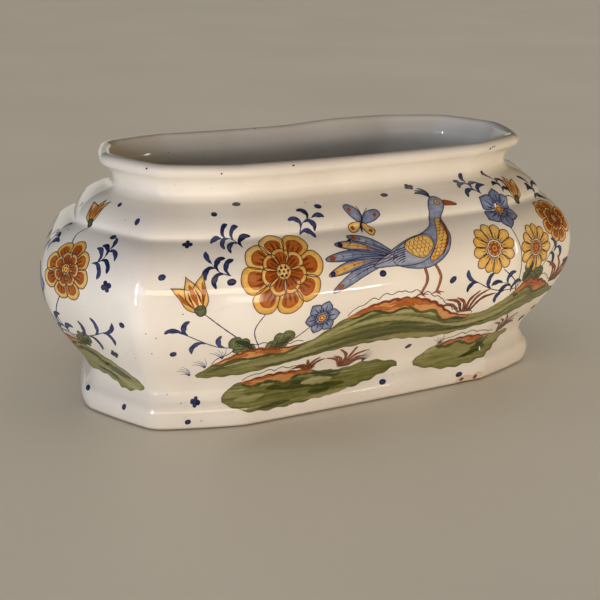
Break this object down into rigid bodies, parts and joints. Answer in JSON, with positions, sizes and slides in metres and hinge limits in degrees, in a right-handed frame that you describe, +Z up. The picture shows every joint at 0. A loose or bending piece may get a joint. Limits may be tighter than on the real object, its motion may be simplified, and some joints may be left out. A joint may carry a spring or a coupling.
{
  "type": "jardiniere",
  "caption": "Pot-bellied glazed earthenware jardiniere with an elongated panelled plan, a creased shoulder, a rolled lip and a low flared foot.",
  "frame": {"origin": "on the ground, under the middle of the foot", "axes": "+Z up, +X along the pot's length, the front panel faces -Y"},
  "size_m": [0.4158, 0.2144, 0.176],
  "materials": {
    "glaze": "glossy ivory tin glaze with painted decoration",
    "clay": "matt fired red earthenware"
  },
  "bodies": {
    "root": {"wall_front": "glaze", "wall_back": "glaze", "rim_lip": "glaze", "foot_ring": "glaze", "floor_slab": "clay"}
  },
  "joints": []
}
